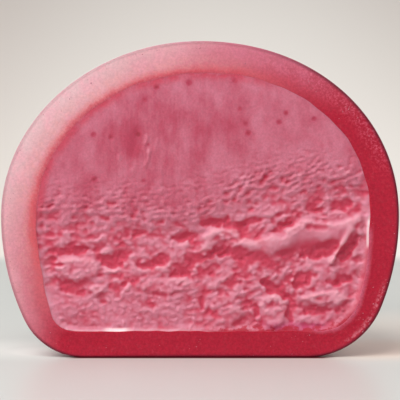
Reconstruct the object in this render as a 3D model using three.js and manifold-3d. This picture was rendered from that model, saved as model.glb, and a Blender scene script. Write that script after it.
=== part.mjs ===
// Half of a mochi ice cream, cut straight through its middle: a soft dome of
// rice dough, with the ice cream that fills it as a second solid.
//
// Millimetres, +Z up. The origin is at the middle of the footprint. The cut
// face looks along -Y, the round back along +Y, and the flat base rests at z = 0.

import * as THREE from 'three';
import { mergeVertices } from 'three/addons/utils/BufferGeometryUtils.js';
import Module from 'manifold-3d';

const wasm = await Module();
wasm.setup();

// ---------------------------------------------------------------- sizes

const DOME_WIDTH = 48;                       // across the widest point
const DOME_HEIGHT = 38.2;
const WAIST_HEIGHT = 17;                     // height of the widest point
const DOME_DEPTH = DOME_WIDTH / 2;           // half of the round dome is left
const CUT_Y = -DOME_DEPTH / 2;               // the plane of the cut

const WALL_SIDE = 3.9;                       // dough at the waist
const WALL_CROWN = 3.8;                      // dough over the top
const WALL_BASE = 3.2;                       // dough under the ice cream
const FILLING_SHIFT = 0.4;                   // the ice cream sits off centre
const GAP = 0.3;                             // clearance between the two solids

// A profile runs from the crown, an oval arc down to the waist, a flank arc
// that draws in below it, and a foot arc that rounds into the flat floor.
// Where left and right differ, the profile blends from one to the other.
const SKIN = {
  shift: 0,
  halfWidth: DOME_WIDTH / 2,
  crown: DOME_HEIGHT,
  floor: 0,
  flankRadius: 29.4,
  footRadius: { left: 8, right: 9.7 },
  fullness: { left: 1.98, right: 2.08 },     // 2 is a true ellipse
};
const CAVITY = {
  shift: FILLING_SHIFT,
  halfWidth: DOME_WIDTH / 2 - WALL_SIDE,
  crown: DOME_HEIGHT - WALL_CROWN,
  floor: WALL_BASE,
  flankRadius: 40,
  footRadius: { left: 2.6, right: 5.2 },
  fullness: { left: 2, right: 2.12 },
};
const FILLING = {
  ...CAVITY,
  halfWidth: CAVITY.halfWidth - GAP,
  crown: CAVITY.crown - GAP,
  floor: CAVITY.floor + GAP,
  flankRadius: CAVITY.flankRadius - GAP,
  footRadius: { left: CAVITY.footRadius.left - GAP, right: CAVITY.footRadius.right - GAP },
};

// Steps of the facets, round the outline of the cut and from it to the back.
const SKIN_STEPS = { around: 88, toBack: 20 };
const CAVITY_STEPS = { around: 72, toBack: 14 };
const FOOT_CROWDING = 0.6;                   // 0 spaces the steps evenly, 1 crowds them at the foot

// The pressed dough swells and sinks at the back, less and less towards its base.
const SWELL = { height: 0.35, spacing: 9, seed: 3, calmFoot: 8 };

// ---------------------------------------------------------------- the torn face

// The knife smeared the top of the ice cream smooth and tore it lower down,
// below a level that climbs from left to right and wanders by a millimetre.
const TORN_LEVEL = { left: 20.3, right: 24.3, from: -2, to: 9, spacing: 4, seed: 5 };
const TEAR_RUN = { from: 0.5, to: 7 };       // depth below that level over which the tearing grows
const GRAIN_TILT = THREE.MathUtils.degToRad(13);

// Every form below is bent by this much noise, so that its edge is ragged.
const RAGGED = {
  across: { by: 0.8, wide: 2.2, high: 1.8, seed: 11 },
  up: { by: 0.6, wide: 2.2, high: 1.8, seed: 23 },
};

// Hollows that the knife dragged out: centre, half sizes, depth, tilt in degrees.
const HOLLOWS = [
  { x: -17.8, z: 11.5, wide: 1.6, high: 0.8, deep: 0.9, tilt: -4 },
  { x: -14.8, z: 13.0, wide: 2.0, high: 0.7, deep: 0.8, tilt: 16 },
  { x: -10.3, z: 12.1, wide: 1.8, high: 1.0, deep: 1.1, tilt: 0 },
  { x: -5.7, z: 11.9, wide: 1.8, high: 1.0, deep: 1.0, tilt: 0 },
  { x: -2.3, z: 10.8, wide: 2.0, high: 1.1, deep: 1.1, tilt: 14 },
  { x: -15.8, z: 8.5, wide: 2.2, high: 0.7, deep: 0.9, tilt: -10 },
  { x: -9.0, z: 9.5, wide: 0.8, high: 0.8, deep: 0.7, tilt: 0 },
  { x: -6.2, z: 6.3, wide: 1.2, high: 0.6, deep: 0.5, tilt: 8 },
  { x: 0.2, z: 6.9, wide: 0.6, high: 1.3, deep: 0.8, tilt: -8 },
  { x: -1.7, z: 14.7, wide: 1.4, high: 0.7, deep: 0.9, tilt: 14 },
  { x: 2.7, z: 13.3, wide: 1.0, high: 1.0, deep: 0.9, tilt: 0 },
  { x: 14.9, z: 13.2, wide: 3.1, high: 1.0, deep: 1.4, tilt: 9 },
  { x: 17.9, z: 13.2, wide: 1.9, high: 0.7, deep: 1.2, tilt: 62 },
  { x: 16.2, z: 9.4, wide: 1.8, high: 0.8, deep: 1.2, tilt: 8 },
  { x: 12.4, z: 9.4, wide: 1.0, high: 1.0, deep: 1.1, tilt: -30 },
  { x: 9.6, z: 7.9, wide: 2.2, high: 0.7, deep: 1.4, tilt: -34 },
  { x: 11.0, z: 5.0, wide: 0.7, high: 1.3, deep: 1.1, tilt: 0 },
  { x: 6.4, z: 5.7, wide: 0.7, high: 1.7, deep: 0.9, tilt: 0 },
  { x: 15.0, z: 5.9, wide: 2.7, high: 0.6, deep: 0.9, tilt: -3 },
  { x: 4.9, z: 10.4, wide: 1.4, high: 0.8, deep: 0.8, tilt: -21 },
  { x: 1.8, z: 16.5, wide: 1.7, high: 0.7, deep: 0.8, tilt: 10 },
  { x: 6.3, z: 16.4, wide: 1.5, high: 0.7, deep: 0.8, tilt: 20 },
  { x: 9.8, z: 15.7, wide: 1.5, high: 0.7, deep: 0.8, tilt: 20 },
  { x: 14.1, z: 18.2, wide: 1.4, high: 0.7, deep: 0.7, tilt: 11 },
  { x: 17.2, z: 18.6, wide: 1.5, high: 0.7, deep: 0.8, tilt: 15 },
];
// Shares of a hollow's half size at which its floor ends and its rim is level
// with the face, and how much deeper its lower edge is than its middle.
const HOLLOW_RIM = { inner: 0.75, outer: 1.35, lean: 0.2 };

// Lumps that stayed standing between the hollows.
const LUMPS = [
  { x: -14.8, z: 10.8, wide: 2.7, high: 1.2, proud: 0.4, tilt: 0 },
  { x: 8.9, z: 5.8, wide: 1.6, high: 1.9, proud: 0.5, tilt: 0 },
  { x: 15.7, z: 7.3, wide: 2.7, high: 0.8, proud: 0.4, tilt: 0 },
  { x: -3.9, z: 8.7, wide: 3.0, high: 0.9, proud: 0.25, tilt: 0 },
  { x: 3.1, z: 5.8, wide: 1.7, high: 1.8, proud: 0.3, tilt: 0 },
];
const LUMP_RIM = { inner: 0.85, outer: 1.25 };

// A ragged shelf stands proud across the right half of the face. It climbs
// twice towards the right, and rises to one peak near the middle.
const SHELF = {
  level: 14.1, proud: 0.6, from: -0.8, to: 20, fadeIn: 1.8, fadeOut: 1, above: 0.65, below: 1.7,
};
const SHELF_CLIMBS = [{ by: 1.8, from: 9.5, to: 12 }, { by: 1.2, from: 16.5, to: 20 }];
const SHELF_PEAK = { by: 1.1, x: 2.6, reach: 2 };

// Between them the torn face is pitted and flaky.
const PITS = { depth: 0.55, wide: 3.4, high: 1.7, seed: 81, from: 0.12, to: 0.34 };
const FLAKES = { height: 0.5, wide: 4.1, high: 2.4, seed: 31, sharpness: 9, steepness: 1.6, variety: 1.5 };
const TORN_SETBACK = 0.3;                    // how far the torn face lies behind the smeared one

const FACE_COLUMNS = 66;
const FACE_ROWS = 52;
const FACE_TORN_SHARE = 0.72;                // share of the rows that the torn part gets
const FACE_MARGIN = 1;                       // the slab reaches past the filling by this

// ---------------------------------------------------------------- noise

const { clamp, lerp, smoothstep, degToRad } = THREE.MathUtils;

// A repeatable scatter of values from 0 to 1 over whole numbers.
function scatter(i, j, seed) {
  const value = Math.sin(i * 127.1 + j * 311.7 + seed * 74.7) * 43758.5453;
  return value - Math.floor(value);
}

// Smooth noise from -1 to 1, with its bumps one unit apart.
function noise(x, z, seed) {
  const i = Math.floor(x);
  const j = Math.floor(z);
  const across = smoothstep(x - i, 0, 1);
  const up = smoothstep(z - j, 0, 1);
  const low = lerp(scatter(i, j, seed), scatter(i + 1, j, seed), across);
  const high = lerp(scatter(i, j + 1, seed), scatter(i + 1, j + 1, seed), across);
  return 2 * lerp(low, high, up) - 1;
}

// Three layers of noise, each turned, half as large and half as strong.
function fractal(x, z, seed) {
  const layers = 3;
  const turn = 0.7;
  let total = 0;
  for (let layer = 0; layer < layers; layer += 1) {
    const scale = 2 ** layer;
    const cos = Math.cos(turn * layer);
    const sin = Math.sin(turn * layer);
    total += noise((x * cos - z * sin) * scale, (x * sin + z * cos) * scale, seed + layer) / scale;
  }
  return total / (2 - 2 ** (1 - layers));
}

// Shingles: cells that each rise towards their upper edge, by differing amounts.
function shingles(across, up, { seed, sharpness, steepness, variety }) {
  const column = Math.floor(across);
  const row = Math.floor(up);
  let total = 0;
  let weight = 0;
  for (let i = column - 1; i <= column + 1; i += 1) {
    for (let j = row - 1; j <= row + 1; j += 1) {
      const dx = across - i - scatter(i, j, seed);
      const dz = up - j - scatter(i, j, seed + 1);
      const share = Math.exp(-sharpness * (dx * dx + dz * dz));
      total += share * steepness * scatter(i, j, seed + 2) ** variety * dz;
      weight += share;
    }
  }
  return total / weight;
}

// ---------------------------------------------------------------- relief of the face

// How far a point lies below the level where the knife began to tear.
function depthBelowTear(x, z) {
  const { left, right, from, to, spacing, seed } = TORN_LEVEL;
  const level = lerp(left, right, smoothstep(x, from, to));
  return level - z + fractal(x / spacing, z / spacing, seed);
}

// A point as seen from the middle of a tilted oval form, in its half sizes.
function inForm(form, x, z) {
  const cos = Math.cos(degToRad(form.tilt));
  const sin = Math.sin(degToRad(form.tilt));
  const dx = x - form.x;
  const dz = z - form.z;
  return { across: (dx * cos + dz * sin) / form.wide, up: (dz * cos - dx * sin) / form.high };
}

function hollowDepth(x, z) {
  let depth = 0;
  for (const hollow of HOLLOWS) {
    const { across, up } = inForm(hollow, x, z);
    const open = 1 - smoothstep(Math.hypot(across, up), HOLLOW_RIM.inner, HOLLOW_RIM.outer);
    const lean = 1 - HOLLOW_RIM.lean * (1 + clamp(up, -1, 1));
    depth = Math.max(depth, hollow.deep * open * lean);
  }
  return depth;
}

function lumpHeight(x, z) {
  let height = 0;
  for (const lump of LUMPS) {
    const { across, up } = inForm(lump, x, z);
    const on = 1 - smoothstep(Math.hypot(across, up), LUMP_RIM.inner, LUMP_RIM.outer);
    height = Math.max(height, lump.proud * on);
  }
  return height;
}

function shelfHeight(x, z) {
  const climbs = SHELF_CLIMBS.map(({ by, from, to }) => by * smoothstep(x, from, to));
  const peak = SHELF_PEAK.by * Math.exp(-(((x - SHELF_PEAK.x) / SHELF_PEAK.reach) ** 2));
  const level = SHELF.level + climbs[0] + climbs[1] + peak;
  const rise = z - level;
  const reach = rise > 0 ? SHELF.above : SHELF.below;
  const start = smoothstep(x, SHELF.from, SHELF.from + SHELF.fadeIn);
  const end = 1 - smoothstep(x, SHELF.to - SHELF.fadeOut, SHELF.to);
  return SHELF.proud * start * end * Math.exp(-((rise / reach) ** 2));
}

function raggedness({ by, wide, high, seed }, x, z) {
  return by * fractal(x / wide, z / high, seed);
}

// How far the face sinks in behind the plane of the cut, as a negative height.
function faceRelief(x, z) {
  const torn = smoothstep(depthBelowTear(x, z), TEAR_RUN.from, TEAR_RUN.to);
  const bentX = x + raggedness(RAGGED.across, x, z);
  const bentZ = z + raggedness(RAGGED.up, x, z);
  const along = bentX * Math.cos(GRAIN_TILT) + bentZ * Math.sin(GRAIN_TILT);
  const up = bentZ * Math.cos(GRAIN_TILT) - bentX * Math.sin(GRAIN_TILT);
  const pitting = fractal(along / PITS.wide, up / PITS.high, PITS.seed);
  const pit = PITS.depth * smoothstep(pitting, PITS.from, PITS.to);
  const flakes = FLAKES.height * shingles(along / FLAKES.wide, up / FLAKES.high, FLAKES);
  const sunk = Math.max(hollowDepth(bentX, bentZ), torn * pit);
  const proud = lumpHeight(bentX, bentZ) + shelfHeight(bentX, bentZ);
  return Math.min(torn * (flakes - TORN_SETBACK) - sunk + proud, 0);
}

// ---------------------------------------------------------------- solids

function solidOf(geometry) {
  const bare = geometry.clone();
  bare.deleteAttribute('normal');
  bare.deleteAttribute('uv');
  const merged = mergeVertices(bare, 1e-5);
  return new wasm.Manifold(new wasm.Mesh({
    numProp: 3,
    vertProperties: new Float32Array(merged.attributes.position.array),
    triVerts: new Uint32Array(merged.index.array),
  }));
}

function geometryOf(solid) {
  const mesh = solid.getMesh();
  const geometry = new THREE.BufferGeometry();
  geometry.setAttribute('position', new THREE.BufferAttribute(new Float32Array(mesh.vertProperties), 3));
  geometry.setIndex(new THREE.BufferAttribute(new Uint32Array(mesh.triVerts), 1));
  return geometry;
}

function moveVertices(geometry, move) {
  const position = geometry.attributes.position;
  const point = new THREE.Vector3();
  for (let i = 0; i < position.count; i += 1) {
    point.fromBufferAttribute(position, i);
    move(point);
    position.setXYZ(i, point.x, point.y, point.z);
  }
  return geometry;
}

// Distance from the middle of the waist to the profile, at an angle of
// elevation. rightness is 0 on the left side of the dome and 1 on the right.
function profileReach(profile, elevation, rightness) {
  const cos = Math.cos(elevation);
  const sin = Math.sin(elevation);
  if (sin >= 0) {
    const power = lerp(profile.fullness.left, profile.fullness.right, rightness);
    const across = (cos / profile.halfWidth) ** power;
    const up = (sin / (profile.crown - WAIST_HEIGHT)) ** power;
    return (across + up) ** (-1 / power);
  }
  const foot = lerp(profile.footRadius.left, profile.footRadius.right, rightness);
  const drop = WAIST_HEIGHT - profile.floor;
  const flankCentre = profile.halfWidth - profile.flankRadius;
  const turn = Math.asin((drop - foot) / (profile.flankRadius - foot));
  const footCentre = flankCentre + (profile.flankRadius - foot) * Math.cos(turn);
  const footStart = Math.atan2(
    profile.flankRadius * Math.sin(turn),
    flankCentre + profile.flankRadius * Math.cos(turn),
  );
  const floorStart = Math.atan2(drop, footCentre);
  if (-elevation < footStart) return reachOfCircle(cos, sin, flankCentre, 0, profile.flankRadius);
  if (-elevation < floorStart) return reachOfCircle(cos, sin, footCentre, foot - drop, foot);
  return -drop / sin;
}

// Far crossing of a ray from the origin with a circle.
function reachOfCircle(cos, sin, centreAcross, centreUp, radius) {
  const along = cos * centreAcross + sin * centreUp;
  return along + Math.sqrt(along ** 2 - centreAcross ** 2 - centreUp ** 2 + radius ** 2);
}

// Turns a direction about Y so that the steps crowd where the foot is rounded.
function crowdTowardsFoot(direction) {
  const around = Math.hypot(direction.x, direction.z);
  const turn = Math.atan2(direction.x, -direction.z);
  const crowded = turn + (FOOT_CROWDING / 3) * Math.sin(3 * turn);
  direction.x = around * Math.sin(crowded);
  direction.z = -around * Math.cos(crowded);
}

// A whole dome: a sphere with its poles along Y, each vertex cast on to the profile.
function wholeDome(profile, steps, swell) {
  const sphere = new THREE.SphereGeometry(1, steps.around, 2 * steps.toBack);
  return moveVertices(sphere, (point) => {
    const direction = point.clone().normalize();
    crowdTowardsFoot(direction);
    const level = Math.hypot(direction.x, direction.y);
    const rightness = level > 1e-6 ? 0.5 + (0.5 * direction.x) / level : 0.5;
    const elevation = Math.atan2(direction.z, level);
    const reach = profileReach(profile, elevation, rightness);
    const height = WAIST_HEIGHT + reach * direction.z;
    const fromCut = Math.sin(2 * Math.asin(clamp(direction.y, 0, 1)));
    const lift = smoothstep(height, profile.floor, profile.floor + SWELL.calmFoot);
    const uneven = fractal((direction.x * reach) / SWELL.spacing, height / SWELL.spacing, SWELL.seed);
    point.copy(direction).multiplyScalar(reach + swell * fromCut * lift * uneven);
    point.add(new THREE.Vector3(profile.shift, CUT_Y, WAIST_HEIGHT));
  });
}

// Everything behind the plane of the cut, with some margin all round.
function behindCut() {
  const size = 2 * DOME_WIDTH;
  const block = new THREE.BoxGeometry(size, size, size);
  block.translate(0, CUT_Y + size / 2, DOME_HEIGHT / 2);
  return solidOf(block);
}

// The same, with the relief of the torn face on its front. The rows of the
// face are closer together where it is torn.
function behindFace() {
  const width = 2 * (FILLING.halfWidth + FACE_MARGIN);
  const bottom = FILLING.floor - FACE_MARGIN;
  const top = FILLING.crown + FACE_MARGIN;
  const block = new THREE.BoxGeometry(width, DOME_WIDTH, 1, FACE_COLUMNS, 1, FACE_ROWS);
  moveVertices(block, (point) => {
    const share = point.z + 0.5;
    const tornTop = (TORN_LEVEL.right - bottom) / (top - bottom);
    const level = share < FACE_TORN_SHARE
      ? (share / FACE_TORN_SHARE) * tornTop
      : tornTop + ((share - FACE_TORN_SHARE) / (1 - FACE_TORN_SHARE)) * (1 - tornTop);
    point.x += FILLING.shift;
    point.z = lerp(bottom, top, level);
    const front = point.y < 0;
    point.y = front ? CUT_Y - faceRelief(point.x, point.z) : CUT_Y + DOME_WIDTH;
  });
  return solidOf(block);
}

// ---------------------------------------------------------------- pieces

function doughShell() {
  const skin = solidOf(wholeDome(SKIN, SKIN_STEPS, SWELL.height));
  const cavity = solidOf(wholeDome(CAVITY, CAVITY_STEPS, 0));
  const mesh = new THREE.Mesh(
    geometryOf(skin.subtract(cavity).intersect(behindCut())),
    new THREE.MeshStandardMaterial({ color: 0xc9596b, roughness: 0.5, metalness: 0 }),
  );
  mesh.name = 'mochi_shell';
  return mesh;
}

function iceCream() {
  const filling = solidOf(wholeDome(FILLING, CAVITY_STEPS, 0));
  const mesh = new THREE.Mesh(
    geometryOf(filling.intersect(behindFace())),
    new THREE.MeshStandardMaterial({ color: 0xd0708a, roughness: 0.65, metalness: 0 }),
  );
  mesh.name = 'ice_cream';
  return mesh;
}

const mochi = new THREE.Group();
mochi.add(doughShell(), iceCream());

export default mochi;
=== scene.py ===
"""Half of a cut mochi ice cream: the dough, the torn ice cream and its starch.

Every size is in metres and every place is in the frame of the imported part: the
cut face looks along -Y and the flat base rests at z = 0.
"""

import math
import random
from dataclasses import dataclass, replace

import bmesh
import bpy
import numpy as np
from mathutils import Matrix, Vector


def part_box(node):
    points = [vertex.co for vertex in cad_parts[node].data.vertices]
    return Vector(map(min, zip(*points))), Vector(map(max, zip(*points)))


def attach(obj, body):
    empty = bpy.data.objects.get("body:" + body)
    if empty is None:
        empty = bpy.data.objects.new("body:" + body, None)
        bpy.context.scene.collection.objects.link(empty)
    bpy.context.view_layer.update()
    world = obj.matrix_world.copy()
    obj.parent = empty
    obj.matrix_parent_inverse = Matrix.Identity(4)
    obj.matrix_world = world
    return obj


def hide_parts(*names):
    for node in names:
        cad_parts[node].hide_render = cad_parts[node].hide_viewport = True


bl_info = {
    "name": "Cut Mochi Ice Cream",
    "version": (1, 0, 0),
    "blender": (4, 5, 0),
    "location": "3D View > Sidebar > Mochi",
    "description": "Models half of a mochi ice cream with its torn cut face",
    "category": "Object",
}

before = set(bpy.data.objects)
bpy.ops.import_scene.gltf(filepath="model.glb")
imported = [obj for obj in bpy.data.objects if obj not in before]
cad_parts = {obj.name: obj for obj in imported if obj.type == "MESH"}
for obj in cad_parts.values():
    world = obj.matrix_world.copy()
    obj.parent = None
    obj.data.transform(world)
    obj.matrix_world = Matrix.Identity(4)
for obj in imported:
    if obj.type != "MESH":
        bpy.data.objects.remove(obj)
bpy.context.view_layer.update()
SHELL_LOW, SHELL_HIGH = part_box("mochi_shell")
CREAM_LOW, CREAM_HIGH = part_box("ice_cream")

MM = 0.001
CUT_Y = SHELL_LOW.y  # the plane of the cut
WAIST = 17 * MM  # height of the widest point
HALF_WIDTH = (SHELL_HIGH.x - SHELL_LOW.x) / 2


# ---- sizes and colours


def a_colour(name, description, default):
    """A colour that the user can change."""
    return bpy.props.FloatVectorProperty(
        name=name, description=description, default=default, subtype="COLOR", size=3
    )


def a_length(name, description, default):
    """A length that the user can change."""
    return bpy.props.FloatProperty(
        name=name, description=description, default=default, unit="LENGTH"
    )


class MochiDough(bpy.types.PropertyGroup):
    """Sizes and colours of the rice dough."""

    edge_radius: a_length("Edge radius", "Rounding of the cut's outer edge", 0.3 * MM)
    unevenness: a_length(
        "Unevenness", "How far the pressed dough swells or sinks at the back", 0.35 * MM
    )
    # Deep, middle, light and pale colours form a ramp of painted light: pale where light soaks in
    # at the upper left, deep where it does not.
    deep_colour: a_colour(
        "Deep colour", "Dough that lies in shade, thick and saturated", (0.415, 0.0125, 0.0385)
    )
    middle_colour: a_colour(
        "Middle colour", "Dough that a little light soaks into", (0.467, 0.062, 0.10)
    )
    light_colour: a_colour(
        "Light colour", "Dough that some light soaks through", (0.585, 0.192, 0.245)
    )
    pale_colour: a_colour("Pale colour", "Dough that is full of light", (0.72, 0.495, 0.52))
    mauve_colour: a_colour(
        "Mauve colour",
        "Frosted outer half of the cut, high on the shaded side",
        (0.62, 0.19, 0.29),
    )
    patch_colour: a_colour("Patch colour", "Rosy patches in the pale dough", (0.80, 0.36, 0.45))
    beige_colour: a_colour(
        "Beige colour", "Mottling of the inner half of the pale dough", (0.66, 0.32, 0.31)
    )
    seam_colour: a_colour("Seam colour", "Dough that touches the ice cream", (0.60, 0.12, 0.14))
    stain_colour: a_colour(
        "Stain colour", "The last of the dough before the ice cream", (0.50, 0.055, 0.095)
    )
    # Painted shade: a dark line on the skin just behind the edge of the cut, darkest on the shaded
    # side.
    rim_shade_colour: a_colour(
        "Rim colour", "The skin just behind the edge of the cut", (0.10, 0.01, 0.025)
    )
    powder_colour: a_colour("Powder colour", "Starch that dusts the skin", (0.88, 0.70, 0.71))


class MochiIceCream(bpy.types.PropertyGroup):
    """Sizes and colours of the ice cream."""

    clearance: a_length("Clearance", "Space between the ice cream and the dough", 0.003 * MM)
    step: a_length("Step", "Spacing of the points on the torn face", 0.115 * MM)
    relief: bpy.props.FloatProperty(
        name="Relief",
        description="Depth of the tearing, as a share of its full depth",
        default=1.0,
        subtype="FACTOR",
        min=0,
        max=2,
    )
    smear_colour: a_colour(
        "Smeared colour", "Ice cream that the knife has smeared smooth", (0.52, 0.118, 0.183)
    )
    # Painted shade in the middles of the open bubbles, which also deepens the darkest stains.
    spot_and_shade_colour: a_colour("Spot colour", "Bubbles that the knife opened", (0.33, 0.024, 0.052))
    torn_colour: a_colour("Torn colour", "Ice cream where it is torn open", (0.62, 0.235, 0.315))
    # Partly real frost on the proud edges, partly a painted highlight on the slopes that face up.
    frost_and_highlight_colour: a_colour("Frost colour", "Frosty edges of the torn flakes", (0.73, 0.41, 0.465))
    seam_colour: a_colour(
        "Seam colour", "Ice cream that the dough has stained", (0.54, 0.062, 0.108)
    )
    melted_colour: a_colour(
        "Melted colour",
        "Ice cream that has melted away along the base, so that the dough shows",
        (0.42, 0.015, 0.042),
    )
    film_colour: a_colour(
        "Film colour", "Frosty film where the ice cream meets the dough", (0.72, 0.34, 0.43)
    )
    violet_colour: a_colour(
        "Violet colour",
        "Ice cream that soaks into the dough at the lower right",
        (0.45, 0.032, 0.135),
    )
    line_colour: a_colour("Line colour", "Hoar frost in a line along the rim", (0.92, 0.72, 0.74))
    # Mostly painted shade in the hollows, under the shelf, between the crumbs and on slopes that
    # face down, with a few red patches of the ice cream's own.
    red_and_shade_colour: a_colour("Hollow colour", "Bottoms of the torn hollows", (0.53, 0.036, 0.084))


class MochiStarch(bpy.types.PropertyGroup):
    """The grains of starch along the edge of the cut."""

    count: bpy.props.IntProperty(
        name="Count", description="How many grains lie on the dough", default=260, min=1
    )
    size: a_length("Size", "Mean diameter of a grain", 0.095 * MM)
    colour: a_colour("Colour", "Dry starch", (0.50, 0.17, 0.23))


class MochiStage(bpy.types.PropertyGroup):
    """The camera, the lights and the table."""

    distance: a_length("Camera distance", "From the cut face to the camera", 0.30)
    elevation: bpy.props.FloatProperty(
        name="Camera elevation",
        description="Angle at which the camera looks down",
        default=math.radians(4),
        subtype="ANGLE",
    )
    table_colour: a_colour("Table colour", "The pale table", (0.59, 0.61, 0.585))
    # Painted light: the bounce and the glow are the dough's light on the table, near the piece and
    # further off.
    bounce_colour: a_colour(
        "Blush colour",
        "The table close to the piece, where the dough's light falls on it",
        (0.82, 0.66, 0.55),
    )
    glow_colour: a_colour(
        "Glow colour", "The table further off, where that light fades", (0.88, 0.81, 0.73)
    )
    # Painted shadow: the dark line where the base of the cut meets the table.
    contact_shadow_colour: a_colour(
        "Contact colour", "The table along the base of the cut", (0.20, 0.015, 0.025)
    )
    # Painted light: a glow on the slope behind the piece that dims towards the corners.
    slope_glow_colour: a_colour(
        "Slope colour", "The slope straight behind the piece", (0.94, 0.905, 0.845)
    )
    slope_dim_colour: a_colour(
        "Slope edge colour", "The slope towards the corners of the view", (0.64, 0.57, 0.52)
    )


# ---- material nodes


def arithmetic(operation, swapped=False):
    """A method that writes a sum of two values as a node."""

    def method(wire, other):
        return wire.math(operation, *((other, wire) if swapped else (wire, other)))

    return method


class Wire:
    """An output of a node, on which sums are written as on a number."""

    def __init__(self, recipe, socket):
        self.recipe = recipe
        self.socket = socket

    def math(self, operation, *others):
        return self.recipe.node(
            "ShaderNodeMath", {"operation": operation}, {i: v for i, v in enumerate(others)}
        )

    __add__ = __radd__ = arithmetic("ADD")
    __mul__ = __rmul__ = arithmetic("MULTIPLY")
    __sub__, __rsub__ = arithmetic("SUBTRACT"), arithmetic("SUBTRACT", swapped=True)
    __truediv__ = arithmetic("DIVIDE")
    __pow__ = arithmetic("POWER")

    def between(self, low, high, start=0.0, end=1.0):
        """Runs smoothly from start to end as the value goes from low to high."""
        return self.recipe.node(
            "ShaderNodeMapRange",
            {"interpolation_type": "SMOOTHSTEP"},
            {"Value": self, "From Min": low, "From Max": high, "To Min": start, "To Max": end},
        )

    def fading(self, low, high, start=1.0):
        """Falls smoothly from start to nothing."""
        return self.between(low, high, start, 0.0)


@dataclass
class Area:
    """A part of the cut with soft edges, in millimetres.

    Each pair says where an edge begins to show and is full, or where it begins to
    fade and has gone.
    """

    x_from: tuple = None
    x_to: tuple = None
    z_from: tuple = None
    z_to: tuple = None


class Recipe:
    """A material that is being written."""

    def __init__(self, name):
        self.material = bpy.data.materials.new(name)
        self.material.use_nodes = True
        self.tree = self.material.node_tree
        self.tree.nodes.clear()
        self.place = self.node("ShaderNodeTexCoord", output="Object")

    def node(self, kind, settings=None, inputs=None, output=0):
        """Adds a node: its settings first, then the values or links of its sockets."""
        made = self.tree.nodes.new(kind)
        for key, value in (settings or {}).items():
            setattr(made, key, value)
        for key, value in (inputs or {}).items():
            if isinstance(value, Wire):
                self.tree.links.new(value.socket, made.inputs[key])
            else:
                made.inputs[key].default_value = value
        return Wire(self, made.outputs[output]) if len(made.outputs) else made

    def attributes(self, *names):
        """Values that the mesh carries."""
        return [
            self.node("ShaderNodeAttribute", {"attribute_name": name}, output="Fac")
            for name in names
        ]

    def across(self, axis):
        """One of the object's own coordinates, in millimetres."""
        return self.node("ShaderNodeSeparateXYZ", inputs={0: self.place}, output=axis) / MM

    def towards(self, across, up):
        """How far a point lies from the middle of the waist, measured along a slant."""
        return self.across("X") * across + (self.across("Z") - WAIST / MM) * up

    def inside(self, area):
        """How far a point lies inside an area, from 0 to 1."""
        share = 1.0
        for axis, start, end in (("X", area.x_from, area.x_to), ("Z", area.z_from, area.z_to)):
            if start:
                share = self.across(axis).between(*start) * share
            if end:
                share = self.across(axis).fading(*end) * share
        return share

    def noise(self, spacing, detail=2.0, roughness=0.5, stretch=(1, 1, 1)):
        """Noise about 0.5, with its bumps one spacing apart, times a stretch on each axis."""
        scale = Vector([1 / (spacing * s) for s in stretch])
        where = self.node("ShaderNodeMapping", inputs={"Vector": self.place, "Scale": scale})
        return self.node(
            "ShaderNodeTexNoise",
            inputs={"Vector": where, "Scale": 1.0, "Detail": detail, "Roughness": roughness},
        )

    def ramp(self, value, *stops):
        """Colours along a value."""
        made = self.node("ShaderNodeValToRGB", inputs={"Fac": value})
        elements = made.socket.node.color_ramp.elements
        while len(elements) < len(stops):
            elements.new(0.5)
        for element, (position, colour) in zip(elements, stops):
            element.position, element.color = position, (*colour, 1)
        return made

    def mix(self, share, low, high, blend="MIX"):
        """Goes from one colour to another."""
        return self.node(
            "ShaderNodeMix",
            {"data_type": "RGBA", "blend_type": blend},
            {0: share, 6: solid(low), 7: solid(high)},
            output=2,
        )

    def layered(self, colour, *layers):
        """A colour with others laid over it, each by its share."""
        for share, over in layers:
            colour = self.mix(share, colour, over)
        return colour

    def shaded(self, colour, factor):
        """A colour times a number."""
        return self.mix(1.0, colour, factor, "MULTIPLY")

    def bump(self, height, depth):
        """A fine relief, as a height from 0 to 1 and the depth in metres that it stands for."""
        return self.node(
            "ShaderNodeBump", inputs={"Strength": 1.0, "Distance": depth, "Height": height}
        )

    def finish(self, colour, roughness, **inputs):
        """The material, from its colour, its roughness and other sockets."""
        inputs = {key.replace("_", " "): value for key, value in inputs.items()}
        inputs.update({"Base Color": colour, "Roughness": roughness})
        shader = self.node("ShaderNodeBsdfPrincipled", inputs=inputs)
        self.node("ShaderNodeOutputMaterial", inputs={"Surface": shader})
        return self.material

    def finish_soft(self, colour, roughness, spread, shine, relief):
        """A translucent material, in which light spreads a little, red light furthest."""
        return self.finish(
            colour,
            roughness,
            Subsurface_Weight=1.0,
            Subsurface_Radius=(1.0, 0.7, 0.7),
            Subsurface_Scale=spread,
            Specular_IOR_Level=shine,
            Normal=relief,
        )


def solid(colour):
    """A colour with its alpha, where it is not already a wire."""
    return colour if isinstance(colour, Wire) else (*colour, 1)


# ---- noise on arrays


def smooth(low, high, value):
    """Runs smoothly from 0 to 1 as the value goes from low to high."""
    share = np.clip((value - low) / (high - low), 0, 1)
    return share * share * (3 - 2 * share)


def scatter(i, j, seed):
    """A repeatable scatter of values from 0 to 1 over whole numbers."""
    value = np.sin(i * 127.1 + j * 311.7 + seed * 74.7) * 43758.5453
    return value - np.floor(value)


def noise(x, z, seed):
    """Smooth noise from -1 to 1, with its bumps one unit apart."""
    i, j = np.floor(x), np.floor(z)
    across, up = smooth(0, 1, x - i), smooth(0, 1, z - j)
    low = scatter(i, j, seed) * (1 - across) + scatter(i + 1, j, seed) * across
    high = scatter(i, j + 1, seed) * (1 - across) + scatter(i + 1, j + 1, seed) * across
    return 2 * (low * (1 - up) + high * up) - 1


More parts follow.
